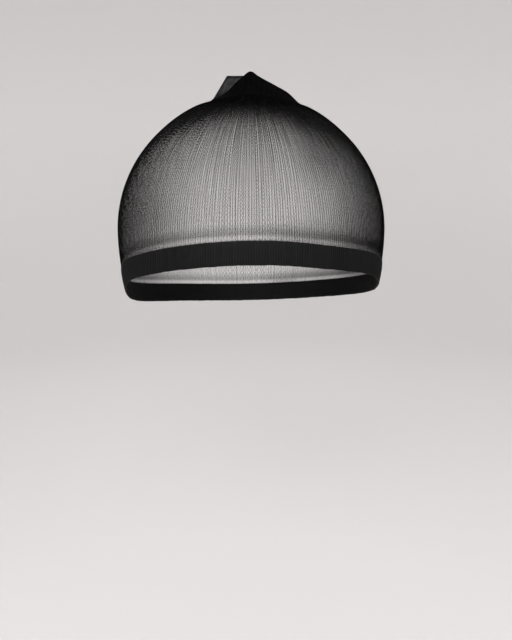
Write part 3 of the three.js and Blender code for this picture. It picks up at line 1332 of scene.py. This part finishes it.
@dataclass
class Tuft:
    """The gathered closed end: a main ruffle in front and a lower one behind, each a folded cloth."""

    form: CapForm
    gather: Gather
    height: float = 0.0124
    wall: float = 0.0005
    crown_wall: float = 0.001
    foot_rise: float = 0.0001
    fullness: float = 0.95
    far_edge: float = 0.12
    ridge_round: float = 0.0008
    ridge_round_most: float = 0.4
    face_bulge: float = 0.9
    columns: int = 241
    face_rows: int = 14
    peak_round: float = 0.040
    peak_steps: int = 7
    ridge_steps: int = 5
    folds: int = 17
    fold_depth: float = 0.0007
    broad_folds: float = 0.37
    broad_depth: float = 0.5
    fold_room: float = 1.6
    fold_end: float = 0.85
    main_flat: tuple[float, float] = (0.060, 0.016)
    rear_flat: tuple[float, float] = (0.056, 0.014)
    finish: RuffleFinish = RuffleFinish("gathered_layers")

    def sections(self) -> dict[str, Array]:
        """Give the sections at every fine step along the tuft.

        Returns:
            The values of each column, by its name.
        """
        table = np.array(RUFFLE_SECTIONS)
        along = np.linspace(0, 1, self.columns)
        nearby = self.peak_round * np.linspace(-1, 1, self.peak_steps)[:, None]
        columns = {
            name: np.interp(along + nearby, table[:, 0], table[:, place]).mean(axis=0)
            for place, name in enumerate(RUFFLE_COLUMNS)
        }
        columns["along"] = along
        return columns

    def resting(self, x: Array, y: Array) -> Array:
        """Give the height of the crown's outside with the foot's small rise."""
        return self.form.height_over(x, y, self.crown_wall) + self.foot_rise

    def folded_line(self, start: Array, ridge: Array, end: Array, top: Array) -> tuple[Array, Array, Array]:
        """Give the section of a cloth that goes up to a ridge, rolls over it and comes down.

        Args:
            start: Where each section's foot lies along the cap.
            ridge: Where its ridge lies.
            end: Where its far edge lies.
            top: How high the ridge stands.

        Returns:
            The places along the cap, the heights, and the share of the way up, by row.
        """
        up = np.linspace(0, 1, self.face_rows)[:, None]
        turn = np.linspace(0, math.pi, self.ridge_steps + 2)[1:-1, None]
        round_over = np.minimum(self.ridge_round, self.ridge_round_most * top)
        side = np.sign(ridge - start)
        climb_y = start + (ridge - side * round_over - start) * up
        climb_z = (top - round_over) * up**self.face_bulge
        over_y = ridge - side * round_over * np.cos(turn)
        over_z = top - round_over + round_over * np.sin(turn)
        down_y = ridge + side * round_over + (end - ridge - side * round_over) * up
        down_z = (top - round_over) * (1 - up)
        share = np.concatenate([up, np.ones_like(turn), 1 - up])
        return (
            np.concatenate([climb_y, over_y, down_y]),
            np.concatenate([climb_z, over_z, down_z]),
            np.broadcast_to(share, (len(share), self.columns)),
        )

    def ruffle(self, name: str, forward: bool, phase: float) -> bpy.types.Object:
        """Make one ruffle.

        Args:
            name: Its name.
            forward: Whether it is the main one in front.
            phase: Where its folds start.

        Returns:
            The ruffle as one object.
        """
        column = self.sections()
        along = column["along"]
        x = self.gather.shift + (along - 0.5) * self.gather.tuft_width
        spread = np.sqrt(1 - (self.fullness * (2 * along - 1)) ** 2)
        half = self.gather.tuft_depth / 2 * spread
        side = -1.0 if forward else 1.0
        reach = column["ahead" if forward else "behind"]
        top = column["main" if forward else "rear"] * self.height
        start = self.gather.setback + side * half
        ridge = self.gather.setback + side * reach * half
        end = self.gather.setback + side * self.far_edge * half
        line_y, line_z, share = self.folded_line(start, ridge, end, top)
        turns = along * math.pi * 2 * self.folds
        fold = np.sin(turns + phase) + self.broad_depth * np.sin(turns * self.broad_folds + phase * 2)
        room = np.minimum(1, top / self.height * self.fold_room)
        sway = self.fold_depth * fold * room * np.sin(share * math.pi * self.fold_end)
        line_y = line_y + side * sway
        x_rows = np.broadcast_to(x, line_y.shape)
        z = self.resting(x_rows, line_y) + np.maximum(line_z, 0)
        middle = np.stack([x_rows, line_y, z], axis=-1)
        across = np.gradient(middle, axis=1)
        upward = np.gradient(middle, axis=0)
        outward = unit(np.cross(across, upward))
        return leaf(middle, middle - outward * self.wall).to_object(name)

    def build(self) -> None:
        """Make and dress both ruffles."""
        finish = self.finish.material()
        main = place_piece(self.ruffle("tuft_main_ruffle", True, 0.4), finish)
        rear = place_piece(self.ruffle("tuft_rear_ruffle", False, 2.1), finish)
        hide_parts("tuft")
        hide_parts("tuft")


@dataclass
class Flap:
    """The single layer of sheer cloth that stands up at the tuft's right end."""

    form: CapForm
    gather: Gather
    wall: float = 0.0004
    crown_wall: float = 0.001
    height: float = 0.011
    foot_width: float = 0.009
    top_width: float = 0.011
    top_shift: float = 0.0086
    bow: float = 0.0012
    foot_gap: float = 0.0004
    columns: int = 41
    rows: int = 41
    ripple: float = 0.00025
    ripples_across: float = 9.0
    ripples_up: float = 4.0
    edge_start: float = 0.03
    edge_reach: float = 0.15
    foot_share: float = 0.75
    foot_reach: float = 0.6
    finish: FlapFinish = FlapFinish("sheer_flap_knit")

    def face(self, set_back: float) -> Array:
        """Give one face of the flap.

        Args:
            set_back: How far it lies behind the flap's middle layer.

        Returns:
            The points, by row, by column and by x, y and z.
        """
        up = np.linspace(0, 1, self.rows)[:, None]
        across = np.linspace(0, 1, self.columns)[None, :]
        left = self.gather.shift - self.gather.tuft_width / 2
        foot_x = left + across * self.foot_width
        top_x = left + self.top_shift + across * self.top_width
        x = foot_x + (top_x - foot_x) * up
        ripple = self.ripple * np.sin(across * self.ripples_across + up * self.ripples_up)
        y = self.gather.setback + set_back + (self.bow + ripple) * np.sin(up * math.pi / 2)
        foot = self.form.height_over(foot_x, y, self.crown_wall) + self.foot_gap
        z = foot + (self.crown_wall + self.height - foot) * up
        return np.stack([x, y, np.broadcast_to(z, x.shape)], axis=-1)

    def build(self) -> None:
        shape = leaf(self.face(-self.wall / 2), self.face(self.wall / 2))
        up = np.broadcast_to(np.linspace(0, 1, self.rows)[:, None], (self.rows, self.columns))
        across = np.broadcast_to(np.linspace(0, 1, self.columns)[None, :], up.shape)
        from_edge = np.minimum(across, 1 - up)
        edge = 1 - smooth_rise(from_edge, self.edge_start, self.edge_reach)
        foot = self.foot_share * (1 - smooth_rise(up, 0.0, self.foot_reach))
        shape.marks = {"near_edge": np.tile(np.maximum(edge, foot).ravel(), 2)}
        flap = place_piece(shape.to_object("flap_leaf"), self.finish.material())
        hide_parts("tuft_flap")


@dataclass(frozen=True)
class Lamp:
    """A soft square lamp that points at the cap."""

    name: str
    place: tuple[float, float, float]
    size: float
    power: float
    colour: Colour = (1.0, 1.0, 1.0)

    def build(self, target: tuple[float, float, float]) -> None:
        """Hang the lamp.

        Args:
            target: The point that it faces.
        """
        light = bpy.data.lights.new(self.name, "AREA")
        light.size = self.size
        light.energy = self.power
        light.color = self.colour
        lamp = bpy.data.objects.new(self.name, light)
        lamp.location = self.place
        ahead = np.array(target) - np.array(self.place)
        tilt = math.atan2(math.hypot(ahead[0], ahead[1]), -ahead[2])
        lamp.rotation_euler = (tilt, 0.0, math.atan2(ahead[1], ahead[0]) - math.pi / 2)
        lamp.visible_camera = False
        bpy.context.scene.collection.objects.link(lamp)


@dataclass
class Studio:
    """The pale backdrop, the soft lights and the camera."""

    floor_level: float = -0.45
    floor_rings: tuple[float, ...] = (0.35, 0.8)
    floor_radius: float = 2.0
    sweep_radius: float = 0.8
    sweep_steps: int = 12
    wall_top: float = 3.2
    steps: int = 96
    aim: tuple[float, float, float] = (0.0, 0.0, -0.06)
    camera_place: tuple[float, float, float] = (0.0028, -0.4735, -0.0211)
    camera_pitch: float = math.radians(13.0)
    lens: float = 45.0
    sensor: float = 36.0
    sky: Colour = (1.0, 0.985, 0.98)
    sky_strength: float = 2.6
    lamps: tuple[Lamp, ...] = (
        Lamp("key_lamp", (-0.15, -1.10, 0.40), 0.6, 29.0),
        Lamp("fill_lamp", (0.85, -0.75, 0.45), 0.9, 3.5),
        Lamp("back_lamp", (0.0, 1.1, 0.8), 0.8, 7.0),
    )
    finish: StageFinish = StageFinish("pale_backdrop")

    def build_backdrop(self) -> bpy.types.Object:
        """Make the floor and the wall round it as one smooth bowl.

        Returns:
            The bowl.
        """
        flat_end = self.floor_radius - self.sweep_radius
        flat = [(radius, self.floor_level) for radius in (*self.floor_rings, flat_end)]
        bends = [
            (
                flat_end + self.sweep_radius * math.sin(turn),
                self.floor_level + self.sweep_radius * (1 - math.cos(turn)),
            )
            for turn in np.linspace(0, math.pi / 2, self.sweep_steps + 1)[1:]
        ]
        profile = [*flat, *bends, (self.floor_radius, self.wall_top)]
        azimuth = np.linspace(0, 2 * math.pi, self.steps, endpoint=False)
        rings = np.array(
            [[(r * math.cos(a), r * math.sin(a), z) for a in azimuth] for r, z in profile]
        )
        points = np.concatenate([rings.reshape(-1, 3), [[0, 0, self.floor_level]]])
        quads = ring_quads(len(profile), self.steps, False)
        step = np.arange(self.steps)
        middle = np.full(self.steps, len(points) - 1)
        centre = np.stack([middle, step, (step + 1) % self.steps], axis=-1)
        backdrop = Shape(points, quads[:, ::-1], centre).to_object("backdrop")
        backdrop.data.materials.append(self.finish.material())
        return backdrop

    def build_camera(self) -> None:
        """Set up the camera at the photograph's viewing angle."""
        camera = bpy.data.objects.new("camera", bpy.data.cameras.new("camera"))
        camera.data.lens = self.lens
        camera.data.sensor_width = self.sensor
        camera.data.clip_start = 0.01
        camera.location = self.camera_place
        camera.rotation_euler = (math.pi / 2 - self.camera_pitch, 0.0, 0.0)
        bpy.context.scene.collection.objects.link(camera)
        bpy.context.scene.camera = camera

    def build_sky(self) -> None:
        """Light the studio evenly from above."""
        world = bpy.data.worlds.new("studio_sky")
        world.use_nodes = True
        ground = world.node_tree.nodes["Background"]
        ground.inputs["Color"].default_value = (*self.sky, 1.0)
        ground.inputs["Strength"].default_value = self.sky_strength
        bpy.context.scene.world = world

    def build(self) -> None:
        """Make the whole studio."""
        self.build_backdrop()
        self.build_camera()
        self.build_sky()
        for lamp in self.lamps:
            lamp.build(self.aim)
        bpy.context.scene.view_settings.view_transform = "Standard"
        log.info("studio: %d lamps", len(self.lamps))


def main() -> None:
    """Load the frame, build the cap on it and set up the studio."""
    logging.basicConfig(level=logging.INFO, format="%(name)s: %(message)s")
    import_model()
    form = CapForm()
    gather = Gather()
    for part in (Crown(form, gather), Band(form), Tuft(form, gather), Flap(form, gather)):
        part.build()
    Studio().build()
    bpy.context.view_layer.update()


if __name__ == "__main__":
    main()
